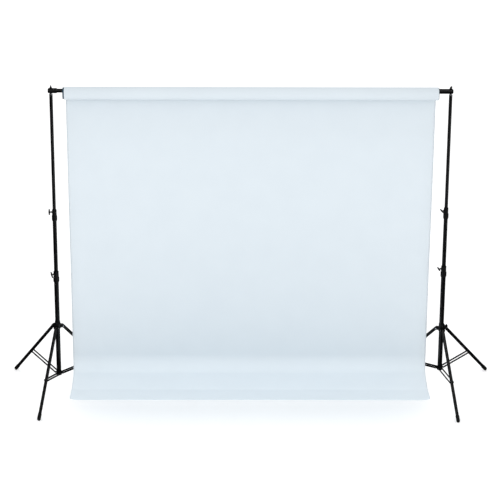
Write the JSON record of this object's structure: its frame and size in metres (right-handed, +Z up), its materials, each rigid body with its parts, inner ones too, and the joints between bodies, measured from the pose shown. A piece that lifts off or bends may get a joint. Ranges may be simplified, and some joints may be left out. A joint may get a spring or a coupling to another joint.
{
  "type": "background support system",
  "caption": "Free-standing background support: tripod light stands with sliding columns carry a telescopic crossbar and a hung roll of wide pale blue-white paper.",
  "frame": {"origin": "on the floor, at the middle of the ground that the feet and the sheet's edge cover", "axes": "+Z up, +X along the crossbar towards its thick end, -Y towards the side that the sheet's lower edge curls to"},
  "size_m": [3.6594, 1.0054, 2.4755],
  "materials": {
    "black_tube": "satin",
    "black_strut": "satin",
    "black_casting": "satin",
    "black_knob": "satin",
    "black_nut": "satin",
    "steel": "satin",
    "rubber_foot": "matte",
    "card_core": "matte",
    "blue_white_paper": "matte"
  },
  "bodies": {
    "left_column": {"left_lower_tube": "black_tube", "left_lower_collar": "black_casting", "left_spreader": "black_casting", "left_spreader_rivets": "steel"},
    "left_mid": {"left_mid_tube": "black_tube", "left_mid_bush": "black_casting", "left_upper_collar": "black_casting"},
    "crossbar": {"left_top_tube": "black_tube", "left_top_bush": "black_casting", "left_spigot": "steel", "bar_end_sleeve": "black_casting", "bar_section_1": "black_tube", "bar_section_2": "black_tube", "bar_section_3": "black_tube", "bar_buttons": "steel", "paper_sheet": "blue_white_paper"},
    "right_post": {"bar_section_4": "black_tube", "bar_end_cap": "black_casting", "right_top_tube": "black_tube", "right_top_bush": "black_casting", "right_spigot": "steel"},
    "right_mid": {"right_mid_tube": "black_tube", "right_mid_bush": "black_casting", "right_upper_collar": "black_casting"},
    "right_column": {"right_lower_tube": "black_tube", "right_lower_collar": "black_casting", "right_spreader": "black_casting", "right_spreader_rivets": "steel"},
    "roll": {"paper_core": "card_core", "paper_roll": "blue_white_paper"},
    "left_yoke": {"left_leg_yoke": "black_casting", "left_yoke_rivets": "steel"},
    "left_front_leg": {"left_front_leg": "black_tube", "left_front_foot": "rubber_foot"},
    "left_front_strut": {"left_front_strut": "black_strut"},
    "left_rear_leg": {"left_rear_leg": "black_tube", "left_rear_foot": "rubber_foot"},
    "left_rear_strut": {"left_rear_strut": "black_strut"},
    "left_inner_leg": {"left_inner_leg": "black_tube", "left_inner_foot": "rubber_foot"},
    "left_inner_strut": {"left_inner_strut": "black_strut"},
    "left_lower_knob": {"left_lower_knob": "black_knob"},
    "left_upper_knob": {"left_upper_knob": "black_knob"},
    "left_yoke_knob": {"left_yoke_knob": "black_knob"},
    "left_wing_nut": {"left_wing_nut": "black_nut"},
    "right_yoke": {"right_leg_yoke": "black_casting", "right_yoke_rivets": "steel"},
    "right_front_leg": {"right_front_leg": "black_tube", "right_front_foot": "rubber_foot"},
    "right_front_strut": {"right_front_strut": "black_strut"},
    "right_rear_leg": {"right_rear_leg": "black_tube", "right_rear_foot": "rubber_foot"},
    "right_rear_strut": {"right_rear_strut": "black_strut"},
    "right_inner_leg": {"right_inner_leg": "black_tube", "right_inner_foot": "rubber_foot"},
    "right_inner_strut": {"right_inner_strut": "black_strut"},
    "right_lower_knob": {"right_lower_knob": "black_knob"},
    "right_upper_knob": {"right_upper_knob": "black_knob"},
    "right_yoke_knob": {"right_yoke_knob": "black_knob"},
    "right_wing_nut": {"right_wing_nut": "black_nut"}
  },
  "joints": [
    {"name": "left_mid_slide", "type": "slide", "parent": "left_column", "child": "left_mid", "axis": [0, 0, 1], "range_m": [-0.38, 0.2]},
    {"name": "left_top_slide", "type": "slide", "parent": "left_mid", "child": "crossbar", "axis": [0, 0, 1], "range_m": [-0.7, 0]},
    {"name": "bar_slide", "type": "slide", "parent": "crossbar", "child": "right_post", "axis": [1, 0, 0], "range_m": [-0.06, 0.1]},
    {"name": "right_top_slide", "type": "slide", "parent": "right_post", "child": "right_mid", "axis": [0, 0, 1], "range_m": [0, 0.7]},
    {"name": "right_mid_slide", "type": "slide", "parent": "right_mid", "child": "right_column", "axis": [0, 0, 1], "range_m": [-0.2, 0.38]},
    {"name": "roll_turn", "type": "hinge", "parent": "crossbar", "child": "roll", "pos_m": [0, 0.14034, 2.4172], "axis": [1, 0, 0], "range_deg": [0, 2520], "deforming": ["paper_sheet"]},
    {"name": "left_yoke_slide", "type": "slide", "parent": "left_column", "child": "left_yoke", "axis": [0, 0, 1], "range_m": [0, 0.30071]},
    {"name": "left_front_leg_fold", "type": "hinge", "parent": "left_yoke", "child": "left_front_leg", "pos_m": [-1.46986, 0.1016, 0.5465], "axis": [0.9686, -0.2487, 0], "range_deg": [0, 37.66]},
    {"name": "left_front_strut_fold", "type": "hinge", "parent": "left_column", "child": "left_front_strut", "pos_m": [-1.46638, 0.11516, 0.15252], "axis": [0.9686, -0.2487, 0], "range_deg": [-65.92, 0]},
    {"name": "left_rear_leg_fold", "type": "hinge", "parent": "left_yoke", "child": "left_rear_leg", "pos_m": [-1.48849, 0.16833, 0.5465], "axis": [-0.6997, -0.7145, 0], "range_deg": [0, 37.66]},
    {"name": "left_rear_strut_fold", "type": "hinge", "parent": "left_column", "child": "left_rear_strut", "pos_m": [-1.47849, 0.15854, 0.15252], "axis": [-0.6997, -0.7145, 0], "range_deg": [-65.92, 0]},
    {"name": "left_inner_leg_fold", "type": "hinge", "parent": "left_yoke", "child": "left_inner_leg", "pos_m": [-1.42139, 0.1511, 0.5465], "axis": [-0.2689, 0.9632, 0], "range_deg": [0, 37.66]},
    {"name": "left_inner_strut_fold", "type": "hinge", "parent": "left_column", "child": "left_inner_strut", "pos_m": [-1.43487, 0.14733, 0.15252], "axis": [-0.2689, 0.9632, 0], "range_deg": [-65.92, 0]},
    {"name": "left_lower_knob_turn", "type": "hinge", "parent": "left_column", "child": "left_lower_knob", "pos_m": [-1.45992, 0.14034, 0.98152], "axis": [-0.7771, -0.6293, 0], "range_deg": [0, 540]},
    {"name": "left_upper_knob_turn", "type": "hinge", "parent": "left_mid", "child": "left_upper_knob", "pos_m": [-1.45992, 0.14034, 1.4814], "axis": [-0.9994, -0.0349, 0], "range_deg": [0, 540]},
    {"name": "left_yoke_knob_turn", "type": "hinge", "parent": "left_yoke", "child": "left_yoke_knob", "pos_m": [-1.45992, 0.14034, 0.5755], "axis": [0.7145, -0.6997, 0], "range_deg": [0, 540]},
    {"name": "left_wing_nut_turn", "type": "hinge", "parent": "crossbar", "child": "left_wing_nut", "pos_m": [-1.45992, 0.14034, 2.437], "axis": [0, 0, 1], "range_deg": [0, 810]},
    {"name": "right_yoke_slide", "type": "slide", "parent": "right_column", "child": "right_yoke", "axis": [0, 0, 1], "range_m": [0, 0.36418]},
    {"name": "right_front_leg_fold", "type": "hinge", "parent": "right_yoke", "child": "right_front_leg", "pos_m": [1.43826, 0.10119, 0.5293], "axis": [0.9789, 0.2045, 0], "range_deg": [0, 39.77]},
    {"name": "right_front_strut_fold", "type": "hinge", "parent": "right_column", "child": "right_front_strut", "pos_m": [1.4354, 0.11489, 0.19878], "axis": [0.9789, 0.2045, 0], "range_deg": [-76.69, 0]},
    {"name": "right_rear_leg_fold", "type": "hinge", "parent": "right_yoke", "child": "right_rear_leg", "pos_m": [1.4599, 0.167, 0.5293], "axis": [-0.6665, 0.7455, 0], "range_deg": [0, 39.77]},
    {"name": "right_rear_strut_fold", "type": "hinge", "parent": "right_column", "child": "right_rear_strut", "pos_m": [1.44947, 0.15767, 0.19878], "axis": [-0.6665, 0.7455, 0], "range_deg": [-76.69, 0]},
    {"name": "right_inner_leg_fold", "type": "hinge", "parent": "right_yoke", "child": "right_inner_leg", "pos_m": [1.39209, 0.15284, 0.5293], "axis": [-0.3123, -0.95, 0], "range_deg": [0, 39.77]},
    {"name": "right_inner_strut_fold", "type": "hinge", "parent": "right_column", "child": "right_inner_strut", "pos_m": [1.40539, 0.14846, 0.19878], "axis": [-0.3123, -0.95, 0], "range_deg": [-76.69, 0]},
    {"name": "right_lower_knob_turn", "type": "hinge", "parent": "right_column", "child": "right_lower_knob", "pos_m": [1.43008, 0.14034, 1.02778], "axis": [-0.9511, -0.309, 0], "range_deg": [0, 540]},
    {"name": "right_upper_knob_turn", "type": "hinge", "parent": "right_mid", "child": "right_upper_knob", "pos_m": [1.43008, 0.14034, 1.5019], "axis": [-0.8192, -0.5736, 0], "range_deg": [0, 540]},
    {"name": "right_yoke_knob_turn", "type": "hinge", "parent": "right_yoke", "child": "right_yoke_knob", "pos_m": [1.43008, 0.14034, 0.5583], "axis": [0.95, -0.3123, 0], "range_deg": [0, 540]},
    {"name": "right_wing_nut_turn", "type": "hinge", "parent": "right_post", "child": "right_wing_nut", "pos_m": [1.43008, 0.14034, 2.437], "axis": [0, 0, 1], "range_deg": [0, 810]}
  ],
  "couplings": [
    {"joint": "right_top_slide", "follows": "left_top_slide", "ratio": -1},
    {"joint": "right_mid_slide", "follows": "left_mid_slide", "ratio": -1},
    {"joint": "left_front_leg_fold", "follows": "left_yoke_slide", "rad_per_m": 2.1848},
    {"joint": "left_front_strut_fold", "follows": "left_yoke_slide", "rad_per_m": -3.8251},
    {"joint": "left_rear_leg_fold", "follows": "left_yoke_slide", "rad_per_m": 2.1848},
    {"joint": "left_rear_strut_fold", "follows": "left_yoke_slide", "rad_per_m": -3.8251},
    {"joint": "left_inner_leg_fold", "follows": "left_yoke_slide", "rad_per_m": 2.1848},
    {"joint": "left_inner_strut_fold", "follows": "left_yoke_slide", "rad_per_m": -3.8251},
    {"joint": "right_front_leg_fold", "follows": "right_yoke_slide", "rad_per_m": 1.905},
    {"joint": "right_front_strut_fold", "follows": "right_yoke_slide", "rad_per_m": -3.6744},
    {"joint": "right_rear_leg_fold", "follows": "right_yoke_slide", "rad_per_m": 1.905},
    {"joint": "right_rear_strut_fold", "follows": "right_yoke_slide", "rad_per_m": -3.6744},
    {"joint": "right_inner_leg_fold", "follows": "right_yoke_slide", "rad_per_m": 1.905},
    {"joint": "right_inner_strut_fold", "follows": "right_yoke_slide", "rad_per_m": -3.6744}
  ]
}
